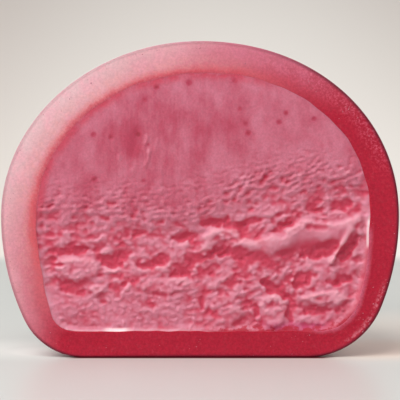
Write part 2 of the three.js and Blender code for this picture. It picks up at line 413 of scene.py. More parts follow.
def fractal(x, z, seed, layers=3):
    """Layers of noise, each turned, half as large and half as strong."""
    turn = 0.7
    total = 0
    for layer in range(layers):
        scale = 2**layer
        cos, sin = math.cos(turn * layer) * scale, math.sin(turn * layer) * scale
        total += noise(x * cos - z * sin, x * sin + z * cos, seed + layer) / scale
    return total / (2 - 2 ** (1 - layers))


def cells_about(across, up):
    """The cell of each point and the eight around it, as columns and rows."""
    column, row = np.floor(across), np.floor(up)
    return [(column + i, row + j) for i in (-1, 0, 1) for j in (-1, 0, 1)]


def bumps(across, up, seed, spread, play, least):
    """Soft bumps, one to a cell.

    Spread is how wide they are, play how far they stray from the middles of the cells,
    and least the height of the lowest, where 1 is that of the highest.
    """
    height = np.zeros_like(across)
    for i, j in cells_about(across, up):
        dx = across - i - 0.5 - play * (scatter(i, j, seed) - 0.5)
        dz = up - j - 0.5 - play * (scatter(i, j, seed + 1) - 0.5)
        share = least + (1 - least) * scatter(i, j, seed + 2)
        height += share * np.exp(-(dx * dx + dz * dz) / (2 * spread**2))
    return height


def crumbs(across, up, seed):
    """Bumps of differing heights, from 0 to about 1.3."""
    return bumps(across, up, seed, spread=0.3, play=1.0, least=0.2)


def heaped(across, up, seed):
    """Crumbs heaped on each other: broad round tops and narrow clefts, from about -0.4 to 0.4."""
    return 0.4 + 0.5 * np.log(0.15 + crumbs(across, up, seed))


def dents(across, up, seed):
    """Dents of much the same depth, 1 at the deepest."""
    return bumps(across, up, seed, spread=0.25, play=0.7, least=0.5)


def limited(height, limit):
    """A height that levels off softly before a limit."""
    softness = 0.15
    return limit - softness * np.log1p(np.exp((limit - height) / softness))


def blurred(grid, radius):
    """A grid with each value spread over its neighbours, by a bell of that radius in cells."""
    reach = int(3 * radius)
    bell = np.exp(-0.5 * (np.arange(-reach, reach + 1) / radius) ** 2)
    bell /= bell.sum()
    for axis in (0, 1):
        padded = np.pad(grid, [(reach, reach) if a == axis else (0, 0) for a in (0, 1)], "edge")
        grid = np.apply_along_axis(np.convolve, axis, padded, bell, "valid")
    return grid


# ---- outline of the dome


WAVES = ((7, 0.5, 0.3), (16, 0, 0.4), (37, 0, 0.3))  # count, shift and share


@dataclass
class Profile:
    """Crown, oval arc down to the waist, flank arc, foot arc and flat floor.

    Pairs hold the value on the left side of the dome and on the right.
    """

    middle: float
    half_width: float
    crown: float
    floor: float
    flank_radius: float
    foot_radius: tuple
    fullness: tuple
    waver: float = 0.0

    def grown(self, by):
        """The same profile, moved outwards all round."""
        return replace(
            self,
            half_width=self.half_width + by,
            crown=self.crown + by,
            floor=self.floor - by,
            flank_radius=self.flank_radius + by,
            foot_radius=tuple(radius + by for radius in self.foot_radius),
        )

    def reach(self, direction):
        """Distance from the middle of the waist to the wavering profile in a direction."""
        turn = math.atan2(direction.x, -direction.z)
        waves = sum(share * math.sin(count * turn + shift) for count, shift, share in WAVES)
        fade = (direction.x**2 + direction.z**2) ** 2
        return self.even_reach(direction) + self.waver * waves * fade

    def even_reach(self, direction):
        """The same distance without the waves."""
        level = math.hypot(direction.x, direction.y)
        side = 0.5 + 0.5 * direction.x / level if level > 1e-6 else 0.5
        power, foot = (
            pair[0] * (1 - side) + pair[1] * side for pair in (self.fullness, self.foot_radius)
        )
        if direction.z >= 0:
            across = (level / self.half_width) ** power
            up = (direction.z / (self.crown - WAIST)) ** power
            return (across + up) ** (-1 / power)
        drop = WAIST - self.floor
        flank = self.half_width - self.flank_radius
        turn = math.asin((drop - foot) / (self.flank_radius - foot))
        foot_middle = flank + (self.flank_radius - foot) * math.cos(turn)
        foot_start = math.atan2(
            self.flank_radius * math.sin(turn), flank + self.flank_radius * math.cos(turn)
        )
        below = math.atan2(-direction.z, level)
        if below < foot_start:
            return reach_of_circle(level, direction.z, flank, 0, self.flank_radius)
        if below < math.atan2(drop, foot_middle):
            return reach_of_circle(level, direction.z, foot_middle, foot - drop, foot)
        return -drop / direction.z

    def point(self, direction):
        """The point of the dome in a direction from the middle of its waist."""
        return Vector((self.middle, CUT_Y, WAIST)) + direction * self.reach(direction)


def reach_of_circle(across, up, middle_across, middle_up, radius):
    """Far crossing of a ray from the origin with a circle."""
    along = across * middle_across + up * middle_up
    return along + math.sqrt(along**2 - middle_across**2 - middle_up**2 + radius**2)


def around(turn, back=0.0):
    """Unit direction at a turn about Y from straight down, and at an angle behind the cut."""
    return Vector(
        (
            math.sin(turn) * math.cos(back),
            math.sin(back),
            -math.cos(turn) * math.cos(back),
        )
    )


GAP = 0.3 * MM  # between the frame's two solids
SKIN = Profile(
    middle=0.0,
    half_width=HALF_WIDTH,
    crown=SHELL_HIGH.z,
    floor=SHELL_LOW.z,
    flank_radius=29.4 * MM,
    foot_radius=(8 * MM, 9.7 * MM),
    fullness=(1.98, 2.08),
)
CAVITY = Profile(
    middle=0.4 * MM,
    half_width=20.1 * MM,
    crown=CREAM_HIGH.z + GAP,
    floor=CREAM_LOW.z - GAP,
    flank_radius=40 * MM,
    foot_radius=(2.6 * MM, 5.2 * MM),
    fullness=(2.0, 2.12),
    waver=0.1 * MM,
)


# ---- relief of the torn face

# All lengths of the face are in millimetres. A form is x, z, half width, half height,
# tilt in degrees, and how deep it goes, how far it stands out or how calm it is.
HOLLOWS = (
    (-18.1, 11.5, 1.6, 0.6, -8, 1.0),
    (-15.0, 13.0, 1.8, 0.5, 18, 0.9),
    (-10.3, 12.1, 1.7, 1.0, 0, 1.2),
    (-5.7, 11.8, 1.8, 1.0, 0, 1.1),
    (-2.3, 10.9, 1.8, 1.1, 15, 1.2),
    (-15.6, 8.6, 2.2, 0.7, -8, 0.9),
    (-11.9, 7.2, 0.6, 0.6, 0, 0.8),
    (-8.9, 9.4, 0.8, 0.8, 0, 0.8),
    (-6.2, 6.3, 1.1, 0.3, 8, 0.5),
    (0.2, 6.9, 0.4, 1.2, -8, 0.9),
    (-1.9, 14.5, 1.4, 0.7, 12, 0.9),
    (2.7, 13.4, 1.0, 1.0, 0, 0.9),
    (15.1, 13.0, 2.9, 1.0, 8, 1.4),
    (18.0, 13.4, 1.9, 0.5, 60, 1.3),
    (16.5, 9.3, 1.6, 0.7, 5, 1.2),
    (12.3, 9.3, 0.8, 1.0, -30, 1.2),
    (9.6, 8.0, 2.3, 0.6, -35, 1.5),
    (11.0, 5.1, 0.5, 1.2, 0, 1.1),
    (6.5, 6.0, 0.5, 1.8, 0, 0.9),
    (15.1, 5.8, 2.7, 0.4, -3, 0.9),
    (4.9, 10.4, 1.4, 0.7, -20, 0.8),
    (1.8, 16.5, 1.7, 0.7, 10, 0.9),
    (6.2, 16.4, 1.4, 0.7, 20, 0.8),
    (9.8, 15.6, 1.4, 0.5, 20, 0.9),
    (14.1, 18.0, 1.2, 0.6, 10, 0.8),
    (17.2, 18.6, 1.4, 0.7, 15, 0.9),
)
LUMPS = (
    (-14.8, 10.8, 2.7, 1.3, 0, 0.45),
    (-12.4, 8.4, 0.6, 0.6, 0, 0.35),
    (8.9, 5.8, 1.6, 2.0, 0, 0.5),
    (15.7, 7.2, 2.7, 0.7, 0, 0.45),
    (-3.9, 8.7, 3.0, 0.8, 0, 0.25),
    (3.1, 5.8, 1.7, 1.8, 0, 0.3),
)
# Where the tearing is gentle, and where it has melted smooth.
CALM = (
    (-11.5, 5.2, 8.5, 2.4, 0, 0.85),
    (-3.9, 8.7, 3.2, 1.0, 0, 0.8),
    (-14.8, 10.8, 2.6, 1.3, 0, 0.8),
    (12.0, 14.2, 5.0, 0.9, 10, 0.8),
)
MELTED = (
    (14.4, 14.7, 3.8, 1.4, 15, 0.9),
    (8.3, 13.4, 4.4, 0.9, 6, 0.6),
)
BLADE = (18.2, 15.7, 15.8, 11.6)  # a thin fin: x and z of both ends
BLADE_WIDTH = 0.25
TEAR_LEVEL = 20.3  # height at which the tearing begins at the left
TEAR_CLIMB = 4.0  # how far that climbs over its run in x
TEAR_RUN = (-2, 9)
GRAIN_TILT = math.radians(13)  # of the flakes
ROW_SLOPE = 0.1  # of the rows of ripples at the left
ROW_CLIMB = 0.12  # what their slope gains, over the bend, up to twice as much
ROW_BEND = 3.0
ROW_LEVEL = 20
SHELF_LEVEL = 14.1
SHELF_CLIMBS = ((9.5, 12.0, 1.8), (16.5, 20, 1.2))  # start and end in x, and height
SHELF_HUMP = (2.6, 2.0, 1.1)  # x, width and height
SHELF_SPAN = ((-0.8, 1.0), (20, 19.3))
SHELF_HEIGHT = 0.65
SETBACK = 0.45  # of the torn part behind the cut
HIGHEST = 0.5  # how far anything stands out from the cut
PIT_DEPTH, NOTCH_DEPTH, FLAKE_HEIGHT, DRAG_HEIGHT = 0.36, 0.22, 0.18, 0.02

# Bubbles in the smooth part: x, z, radius and how dark, the darkness being painted shade in the
# open bubble.
BUBBLES = (
    (-5.2, 32.7, 0.24, 1.3),
    (-6.6, 31.2, 0.22, 0.6),
    (-1.3, 33.2, 0.34, 0.9),
    (4.2, 33.5, 0.25, 1.0),
    (10.3, 29.6, 0.22, 1.3),
    (9.5, 28.5, 0.26, 1.2),
    (13.7, 28.9, 0.24, 1.0),
    (5.8, 27.2, 0.26, 1.1),
    (5.5, 28.3, 0.22, 0.8),
    (4.8, 30.1, 0.2, 0.6),
    (-15.6, 27.1, 0.22, 1.0),
    (-12.8, 27.0, 0.28, 1.0),
    (-10.7, 26.7, 0.26, 1.2),
    (-7.4, 27.0, 0.24, 1.8),
    (-12.7, 21.6, 0.28, 1.2),
    (-6.2, 25.8, 0.16, 0.5),
    (-6.8, 21.5, 0.2, 0.5),
    (-18.4, 22.9, 0.24, 1.7),
    (-19.0, 18.9, 0.2, 0.8),
)
# Marks of the knife: x and z of both ends, half width, and how proud or deep.
STROKES = (
    (-6.4, 26.8, -6.6, 25.9, 0.18, 0.2),
    (-6.8, 25.3, -6.5, 24.6, 0.16, 0.16),
    (-6.1, 25.0, -6.3, 24.0, 0.18, 0.24),
    (-6.4, 23.8, -6.7, 23.2, 0.18, 0.2),
    (-5.2, 26.2, -5.3, 25.2, 0.2, 0.1),
    (-9.6, 24.4, -9.7, 23.9, 0.18, 0.12),
    (-8.1, 22.7, -8.1, 22.4, 0.28, 0.14),
    (-4.7, 23.5, -4.7, 20.2, 0.32, 0.06),
    (-1.4, 28.9, -1.4, 27.4, 0.22, 0.05),
    (0.7, 28.9, 0.7, 27.4, 0.22, 0.05),
    (-10.2, 26.5, -10.3, 25.1, 0.28, 0.06),
    (-7.5, 27.4, -8.2, 24.0, 0.5, -0.12),
)
# Soft stains in the smooth part, as the forms above: rosy where they count up, pale down.
STAINS = (
    (-7.9, 25.4, 0.85, 2.2, 12, 1.0),
    (-7.6, 27.3, 0.5, 0.9, 0, 0.5),
    (-6.7, 28.4, 3.0, 3.0, 0, 0.4),
    (-12.5, 23.5, 3.4, 2.6, 0, 0.3),
    (-0.5, 25.8, 0.6, 2.2, 0, 0.25),
    (4.6, 28.4, 1.1, 3.0, 0, 0.4),
    (-2.5, 28.5, 2.4, 3.0, 0, 0.3),
    (7.0, 30.8, 3.2, 0.6, 0, 0.2),
    (-10.7, 31.0, 1.2, 1.4, 0, -0.35),
    (-3.4, 32.7, 2.4, 0.9, 0, -0.4),
    (2.0, 32.0, 1.0, 2.0, 0, -0.4),
    (6.8, 32.6, 1.6, 0.8, 0, -0.4),
    (12.0, 27.5, 5.0, 4.0, 0, -0.25),
    (17.0, 24.0, 2.5, 3.0, 0, -0.25),
    (-4.6, 21.8, 0.7, 2.2, 0, -0.35),
    (-10.4, 25.6, 0.6, 1.2, 0, -0.3),
)


def in_form(x, z, form):
    """How far out a point lies in a tilted oval, 1 on its rim, and how far up."""
    middle_x, middle_z, half_width, half_height, tilt, _ = form
    cos, sin = math.cos(math.radians(tilt)), math.sin(math.radians(tilt))
    across = ((x - middle_x) * cos + (z - middle_z) * sin) / half_width
    up = ((z - middle_z) * cos - (x - middle_x) * sin) / half_height
    return np.hypot(across, up), np.clip(up, -1, 1)


def below_tear(x, z):
    """How far a point lies below the level where the knife began to tear."""
    level = TEAR_LEVEL + TEAR_CLIMB * smooth(*TEAR_RUN, x)
    return level - z + 0.8 * fractal(x / 4, z / 4, 5)


def tear(out, up):
    """Cross-section of a tear: how deep it is, and the lip raised along its lower edge.

    The upper edge is soft and the tear deepens downwards to a steep end.
    """
    softness = np.maximum(up, 0)
    edge = smooth(1.1 + 0.3 * softness, 0.85 - 0.5 * softness, out)
    lip = np.exp(-(((out - 1.2) / 0.2) ** 2)) * np.maximum(-up, 0)
    return edge * (0.65 - 0.35 * up), lip


def hollows(x, z, crumb):
    """How deep a point lies in the large hollows, less the lips along their lower edges."""
    depth, lip = np.zeros_like(x), np.zeros_like(x)
    for form in HOLLOWS:
        out, up = in_form(x, z, form)
        deep, raised = tear(out + 0.4 * crumb * (1 - np.maximum(up, 0)), up)
        depth = np.maximum(depth, form[5] * deep)
        lip = np.maximum(lip, raised)
    return depth - 0.1 * lip


def notches(across, up, seed, share, crumb):
    """Small tears strewn over cells of one unit, in a share of them."""
    depth, lip = np.zeros_like(across), np.zeros_like(across)
    for i, j in cells_about(across, up):
        size = 0.35 + 0.25 * scatter(i, j, seed + 2)
        dx = (across - i - scatter(i, j, seed)) / size
        dz = (up - j - scatter(i, j, seed + 1)) / size
        open_share = smooth(0, 0.15, share - scatter(i, j, seed + 3))
        out = np.hypot(dx, dz) + 0.5 * crumb
        deep, raised = tear(out, np.clip(dz, -1, 1))
        depth = np.maximum(depth, open_share * size * 2 * deep)
        lip = np.maximum(lip, open_share * raised)
    return depth - 0.12 * lip


def cover(x, z, forms, full=0.7, end=1.4):
    """How far a point lies in any of the forms, from 0 to the form's own amount."""
    share = np.zeros_like(x)
    for form in forms:
        out, _ = in_form(x, z, form)
        share = np.maximum(share, form[5] * smooth(end, full, out))
    return share


def shelf(x, z):
    """The ragged shelf across the right half, steep above, and how red its long fall is, as
    painted shade below the shelf.
    """
    hump_x, hump_width, hump = SHELF_HUMP
    level = SHELF_LEVEL + hump * np.exp(-(((x - hump_x) / hump_width) ** 2))
    for start, end, climb in SHELF_CLIMBS:
        level = level + climb * smooth(start, end, x)
    rise = z - level
    above = np.exp(-((rise / 0.5) ** 4))
    below = np.exp(-((np.maximum(-rise - 0.4, 0) / 1.5) ** 2))
    span = smooth(*SHELF_SPAN[0], x) * smooth(*SHELF_SPAN[1], x)
    red = span * smooth(0.8, 2.1, -rise) * smooth(3.6, 2.3, -rise)
    return SHELF_HEIGHT * span * np.where(rise > 0, above, below), red


def beside(x, z, x0, z0, x1, z1):
    """Distance to a line between two points."""
    length2 = (x1 - x0) ** 2 + (z1 - z0) ** 2
    share = np.clip(((x - x0) * (x1 - x0) + (z - z0) * (z1 - z0)) / length2, 0, 1)
    return np.hypot(x - x0 - share * (x1 - x0), z - z0 - share * (z1 - z0))


def blade(x, z):
    """Height of the fin."""
    return np.exp(-((beside(x, z, *BLADE) / BLADE_WIDTH) ** 2))


def stains(x, z):
    """Where the smear is rosier or paler, with a halo round each bubble and painted shade in its
    middle.
    """
    total = np.zeros_like(x)
    for form in STAINS:
        out, _ = in_form(x, z, form)
        total += form[5] * np.exp(-(out**2))
    for middle_x, middle_z, radius, dark in BUBBLES:
        away = np.hypot(x - middle_x, z - middle_z) / radius
        total += 0.35 * np.exp(-((away / 2.4) ** 2)) + 1.7 * dark * np.exp(-(away**3))
    return total


def knife_marks(x, z):
    """Height of the knife's strokes, and depth of the bubbles that it opened."""
    height, depth = np.zeros_like(x), np.zeros_like(x)
    for *ends, half_width, proud in STROKES:
        height += proud * np.exp(-((beside(x, z, *ends) / half_width) ** 2))
    for middle_x, middle_z, radius, _ in BUBBLES:
        away = np.hypot((x - middle_x) * 1.2, z - middle_z)
        depth = np.maximum(depth, 0.08 * np.exp(-((away / radius) ** 2)))
    return height, depth


@dataclass
class Face:
    """The torn face, on a grid of x and z in millimetres."""

    xs: np.ndarray
    zs: np.ndarray
    height: np.ndarray
    torn: np.ndarray
    opened: np.ndarray
    stain: np.ndarray

    def sample(self, grid, x, z):
        """Values of a grid at scattered points."""
        column = np.clip((x - self.xs[0]) / (self.xs[1] - self.xs[0]), 0, len(self.xs) - 1.001)
        row = np.clip((z - self.zs[0]) / (self.zs[1] - self.zs[0]), 0, len(self.zs) - 1.001)
        i, j = row.astype(int), column.astype(int)
        up, across = row - i, column - j
        low = grid[i, j] * (1 - across) + grid[i, j + 1] * across
        high = grid[i + 1, j] * (1 - across) + grid[i + 1, j + 1] * across
        return low * (1 - up) + high * up


def frayed(x, z):
    """Points moved about, so that the forms there get ragged outlines."""
    return (
        x + 0.7 * fractal(x / 2.2, z / 1.8, 11) + 0.12 * fractal(x / 0.55, z / 0.5, 12, 2),
        z + 0.55 * fractal(x / 2.2, z / 1.8, 23) + 0.12 * fractal(x / 0.55, z / 0.5, 24, 2),
    )


def rows_at(x, z):
    """Places along and across the rows of ripples, which bend upwards at the right."""
    bend = np.hypot(x, ROW_BEND)
    course = x + (ROW_SLOPE + ROW_CLIMB * (1 + x / bend)) * (z - ROW_LEVEL)
    return course, z - ROW_SLOPE * x - ROW_CLIMB * (x + bend)


def ripples(x, z, under):
    """Rows of small ripples, which grow downwards and turn into heaped crumbs."""
    course, row = rows_at(x, z)
    course = course + 0.2 * fractal(x / 0.9, z / 0.7, 13)
    bent_row = row + 0.1 * fractal(x / 0.9, z / 0.7, 14)
    small = 0.25 - 0.9 * dents(course / 0.9, bent_row / 0.6, 53)
    large = 0.3 - 0.9 * dents(course / 1.5, bent_row / 0.9, 59)
    heaps = 0.6 * heaped(x / 0.8, row / 0.5, 58) + 0.4 * heaped(x / 1.6, row / 0.9, 54)
    return (
        (1 - 0.6 * smooth(2, 6, under)) * small
        + smooth(-0.5, 3, under) * (1 - 0.6 * smooth(5, 9, under)) * large
        + smooth(3, 7, under) * heaps
    )


def torn_face(xs, zs, inset):
    """Height of the face over the plane of the cut, in millimetres, flush along its rim."""
    x, z = np.meshgrid(xs, zs)
    _, row = rows_at(x, z)
    ragged_x, ragged_z = frayed(x, z)
    along = ragged_x * math.cos(GRAIN_TILT) + ragged_z * math.sin(GRAIN_TILT)
    up = ragged_z * math.cos(GRAIN_TILT) - ragged_x * math.sin(GRAIN_TILT)
    under = below_tear(x, z)
    torn = smooth(1.5, 6, under)
    rough = 1 - cover(x, z, CALM)
    flaking = (0.1 + 0.9 * rough) * torn
    fine = smooth(-2.5, 3, under + 1.6 * fractal(x / 1.7, z / 1.2, 56, 2))
    grained = fine * (0.7 + 0.3 * rough) * (1 - cover(x, z, MELTED))

    crumb = 0.6 * crumbs(x / 0.62, z / 0.52, 51) + 0.4 * crumbs(x / 0.38, z / 0.36, 57) - 0.4
    flake = heaped(along / 2.0, up / 1.1, 61)
    ragged = crumb + 0.3 * flake
    pits = hollows(ragged_x, ragged_z, ragged)
    wide = rough * notches(along / 2.6, up / 1.3, 31, 0.65 * smooth(0.5, 6, under), ragged)
    ledge, red = shelf(ragged_x, ragged_z)
    marks, holes = knife_marks(x + 0.1 * noise(x / 0.8, z / 0.8, 77), z)

    height = torn * (0.3 * fractal(x / 4.5, z / 3, 81, 2) - SETBACK)
    height += cover(ragged_x, ragged_z, LUMPS, 0.85, 1.25) + ledge + blade(x, z)
    height += flaking * FLAKE_HEIGHT * flake - PIT_DEPTH * pits - NOTCH_DEPTH * wide
    height += (1 - fine) * DRAG_HEIGHT * fractal(x / 0.8, z / 6, 71) + marks - holes
    height = blurred(height, 0.1 / (xs[1] - xs[0]))

    patchy = 0.55 + 0.45 * fractal(x / 2.4, row / 1.2, 55, 2)
    rippled = patchy * ripples(x, z, under)
    grit = 0.12 + 0.07 * torn + 0.12 * torn * (1 - rough)
    height += grained * ((0.5 - 0.28 * torn) * rippled + grit * crumb)
    height = limited(height, HIGHEST) * (0.3 + 0.7 * smooth(-0.2, 0.9, inset))

    # How open the ice cream is, which its colour follows more than its height: it reddens as
    # painted shade in the hollows, under the shelf and between the crumbs, and in a few red
    # patches of its own.
    opened = 0.68 * pits + 0.3 * wide + 0.38 * red + flaking * (0.15 - 0.5 * flake)
    opened -= grained * (1.3 * rippled + (0.45 + 0.4 * torn) * crumb)
    opened += 0.25 * torn * smooth(-0.1, 0.8, fractal(x / 2.6, row / 1.3, 91))
    opened -= 0.12 * smooth(9, 5, z) * smooth(-7, -3, x) * smooth(9, 6, x)
    return Face(xs, zs, height, torn, opened, (1 - torn) * stains(x, z))


# ---- pieces


def new_piece(name, bm, material=None, node=None, slot=None):
    """Turns a bmesh into a smooth piece, which rides on the part if it has a slot."""
    for face in bm.faces:
        face.smooth = True
    mesh = bpy.data.meshes.new(name)
    bm.to_mesh(mesh)
    bm.free()
    if material:
        mesh.materials.append(material)
    piece = bpy.data.objects.new(name, mesh)
    bpy.context.scene.collection.objects.link(piece)
    if slot:
        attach(piece, "root")
    if node:
        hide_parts(node)
    return piece


def whole_dome(profile, steps_around, steps_back):
    """A closed dome on both sides of the cut, with its poles along Y."""
    bm = bmesh.new()
    bmesh.ops.create_uvsphere(
        bm,
        u_segments=steps_around,
        v_segments=2 * steps_back,
        radius=1,
        matrix=Matrix.Rotation(math.radians(90), 4, "X"),
    )
    for vertex in bm.verts:
        vertex.co = profile.point(vertex.co.normalized())
    return bm


SWELL_SPACING = 9 * MM
SWELL_FOOT = 8 * MM  # the skin is even at the base and swells fully from here up


def swell(direction, reach, height):
    """Unevenness of the skin, from -1 to 1, none at the cut, the back and the base."""
    back = math.asin(min(max(direction.y, 0), 1))
    lift = float(smooth(SKIN.floor, SKIN.floor + SWELL_FOOT, height))
    x, z = np.float64(direction.x * reach / SWELL_SPACING), np.float64(height / SWELL_SPACING)
    return math.sin(2 * back) * lift * float(fractal(x, z, 3))


DOUGH_STEPS_AROUND = 400
DOUGH_STEPS_BACK = 64
EDGE_STEPS = 4
RING_STEPS = 16
CAVITY_STEPS_BACK = 20
RIGHT_ANGLE = math.radians(90)


def half_skin(settings):
    """The outer skin behind the cut, as an open bmesh whose rim is the cut's outline."""
    bm = whole_dome(SKIN, DOUGH_STEPS_AROUND, DOUGH_STEPS_BACK)
    front = [vertex for vertex in bm.verts if vertex.co.y < CUT_Y - 1e-6]
    bmesh.ops.delete(bm, geom=front, context="VERTS")
    middle = Vector((0, CUT_Y, WAIST))
    for vertex in bm.verts:
        offset = vertex.co - middle
        direction = offset.normalized()
        vertex.co += direction * settings.unevenness * swell(direction, offset.length, vertex.co.z)
    return bm


def next_loop(bm, rim, place):
    """Extrudes a rim of edges and puts each new vertex where place says."""
    made = bmesh.ops.extrude_edge_only(bm, edges=rim)["geom"]
    vertices = {item for item in made if isinstance(item, bmesh.types.BMVert)}
    for vertex in vertices:
        place(vertex)
    edges = (item for item in made if isinstance(item, bmesh.types.BMEdge))
    return [edge for edge in edges if vertices.issuperset(edge.verts)]


def build_dough(settings):
    """The half shell: skin, rounded edge, cut ring and the wall of the hollow."""
    bm = half_skin(settings)
    turn_layer, depth_layer, inner_layer, cut_layer = (
        bm.verts.layers.float.new(name) for name in ("turn", "depth", "inner", "cut")
    )
    rim = [edge for edge in bm.edges if edge.is_boundary]
    for vertex in {vertex for edge in rim for vertex in edge.verts}:
        vertex[turn_layer] = math.atan2(vertex.co.x, WAIST - vertex.co.z)
        vertex.co.y += settings.edge_radius

    def ring_place(inset, share, setback):
        """Places a vertex on the ring, set back from the cut."""

        def place(vertex):
            vertex.co, depth, wall = ring_point(vertex[turn_layer], inset, share)
            vertex.co.y += setback
            vertex[depth_layer] = depth / MM
            vertex[inner_layer] = (wall - depth) / MM
            vertex[cut_layer] = 1.0

        return place

    radius = settings.edge_radius
    for step in range(1, EDGE_STEPS + 1):
        angle = RIGHT_ANGLE * step / EDGE_STEPS
        place = ring_place(radius * (1 - math.cos(angle)), 0, radius * (1 - math.sin(angle)))
        rim = next_loop(bm, rim, place)
    for step in range(1, RING_STEPS + 1):
        rim = next_loop(bm, rim, ring_place(radius, step / RING_STEPS, 0))
    for edge in rim:
        edge.smooth = False

    def wall_place(back):
        def place(vertex):
            vertex.co = CAVITY.point(around(vertex[turn_layer], back))
            vertex[cut_layer] = 0.0

        return place

    for step in range(1, CAVITY_STEPS_BACK + 1):
        rim = next_loop(bm, rim, wall_place(RIGHT_ANGLE * step / CAVITY_STEPS_BACK))
    bmesh.ops.remove_doubles(bm, verts=bm.verts, dist=1e-7)
    bmesh.ops.recalc_face_normals(bm, faces=bm.faces)
    return bm


RING_DISH = 0.08 * MM
RING_WAVE = 0.03 * MM


def ring_point(turn, inset, share=0.0):
    """A point of the cut ring, its depth from the skin and the thickness of the wall.

    It lies at an inset from the skin, plus a share of the rest of the wall. The ring
    is almost flat: it dishes a little and holds a few soft waves.
    """
    outer, inner = SKIN.point(around(turn)), CAVITY.point(around(turn))
    wall = (outer - inner).length
    depth = inset + share * (wall - inset)
    point = outer + (inner - outer) * (depth / wall)
    wave = math.sin(7 * turn + 1.3) + 0.6 * math.sin(17 * turn)
    across = math.sin(math.pi * min(depth / wall, 1))
    point.y = CUT_Y + across * (RING_DISH + RING_WAVE * wave)
    return point, depth, wall


# Ways across and up over the cut, and parts of it where the dough changes colour. LIGHT_SIDE
# points to where the painted light in the dough is strongest.
LIGHT_SIDE, UPPER_LEFT, UPPER_RIGHT = (-0.74, 0.673), (-0.6, 0.8), (0.5, 0.87)
# Painted shade: less light soaks into the dough at the lower left foot.
SHADED_FOOT = Area(x_from=(-20.5, -15.5), z_to=(1.0, 5.5))
# Painted light: more light soaks into the left flank.
LIT_FLANK = Area(x_to=(-19, -16), z_from=(2, 5), z_to=(9, 14))
FROSTED_SHOULDER = Area(x_from=(-6, 6), x_to=(11.5, 17))
SPECKLED_SHOULDER = Area(x_from=(4, 9), z_from=(21, 26))
STAINED_SIDE = Area(x_to=(-20, -17), z_from=(4, 7), z_to=(16, 24))
BLEEDING_CORNER = Area(x_from=(12, 16), z_from=(1.5, 3.5), z_to=(14.5, 16.5))
DUSTED_EDGE = Area(x_from=(16, 18), z_from=(1, 3), z_to=(8, 10))


def dough_light(recipe, settings, depth):
    """How much light soaks into the dough, and the colour that it has there, as painted light:
    paler towards the upper left, darker deeper in and at the foot.
    """
    soak = recipe.towards(*LIGHT_SIDE) * (MM / HALF_WIDTH)
    soak = soak - depth * 0.055 + (recipe.noise(6 * MM) - 0.5) * 0.12
    soak = soak - recipe.inside(SHADED_FOOT) * 0.42
    soak = soak + recipe.inside(LIT_FLANK) * depth.fading(0.6, 2.6, 0.15)
    light = recipe.ramp(
        soak * 0.5 + 0.5,
        (0.34, settings.deep_colour),
        (0.51, settings.middle_colour),
        (0.70, settings.light_colour),
        (0.94, settings.pale_colour),
    )
    return soak, light


def dough_blemishes(recipe, settings, soak, depth):
    """Patches, mottling, flecks and frost in the dough, as layers of colour."""
    patches = recipe.noise(1.8 * MM, 4, 0.65).between(0.42, 0.66)
    patches = patches * soak.between(0.35, 0.7, 0.0, 0.38)
    beige = recipe.noise(0.55 * MM, 3, 0.6).between(0.35, 0.7) * soak.between(0.1, 0.5, 0.0, 0.5)
    flecks = recipe.noise(0.45 * MM, 3, 0.6).between(0.50, 0.78) * soak.fading(-0.3, 0.1, 0.3)
    mauve = recipe.towards(*UPPER_RIGHT).between(12, 21) * recipe.inside(FROSTED_SHOULDER)
    mauve = mauve * recipe.noise(1.1 * MM, 4, 0.7).between(0.3, 0.7, 0.3, 1.0)
    specks = recipe.noise(0.3 * MM, 3, 0.7).between(0.45, 0.75) * recipe.inside(SPECKLED_SHOULDER)
    return (
        (patches, settings.patch_colour),
        (beige * depth.between(1.0, 2.6), settings.beige_colour),
        (flecks, settings.middle_colour),
        (mauve * depth.fading(1.2, 3.2, 0.5), settings.mauve_colour),
        (specks * depth.fading(0.8, 2.6, 0.5), settings.mauve_colour),
    )


def dough_stains(recipe, settings, inner, cut):
    """Stains of the cut where it meets the ice cream, as layers of colour."""
    grain = recipe.noise(0.35 * MM, 4, 0.7).between(0.3, 0.7, 0.55, 1.0)
    wander = recipe.noise(1.6 * MM, 3, 0.6).between(0.3, 0.6, 0.5, 1.0)
    near = inner - wander * 0.4
    upper_left = recipe.towards(*UPPER_LEFT).between(4, 12)
    seam = near.fading(-0.3, 1.0) * upper_left
    seam = seam + near.fading(-0.3, 1.6, 0.8) * recipe.inside(STAINED_SIDE)
    stain = near.fading(-0.3, 0.35, 0.7) * upper_left
    bleed = inner.fading(0.0, 0.7, 0.6) * recipe.inside(BLEEDING_CORNER) * wander
    return (
        (seam * grain * cut, settings.seam_colour),
        (stain * grain * cut, settings.stain_colour),
        (bleed * cut, settings.mauve_colour),
    )


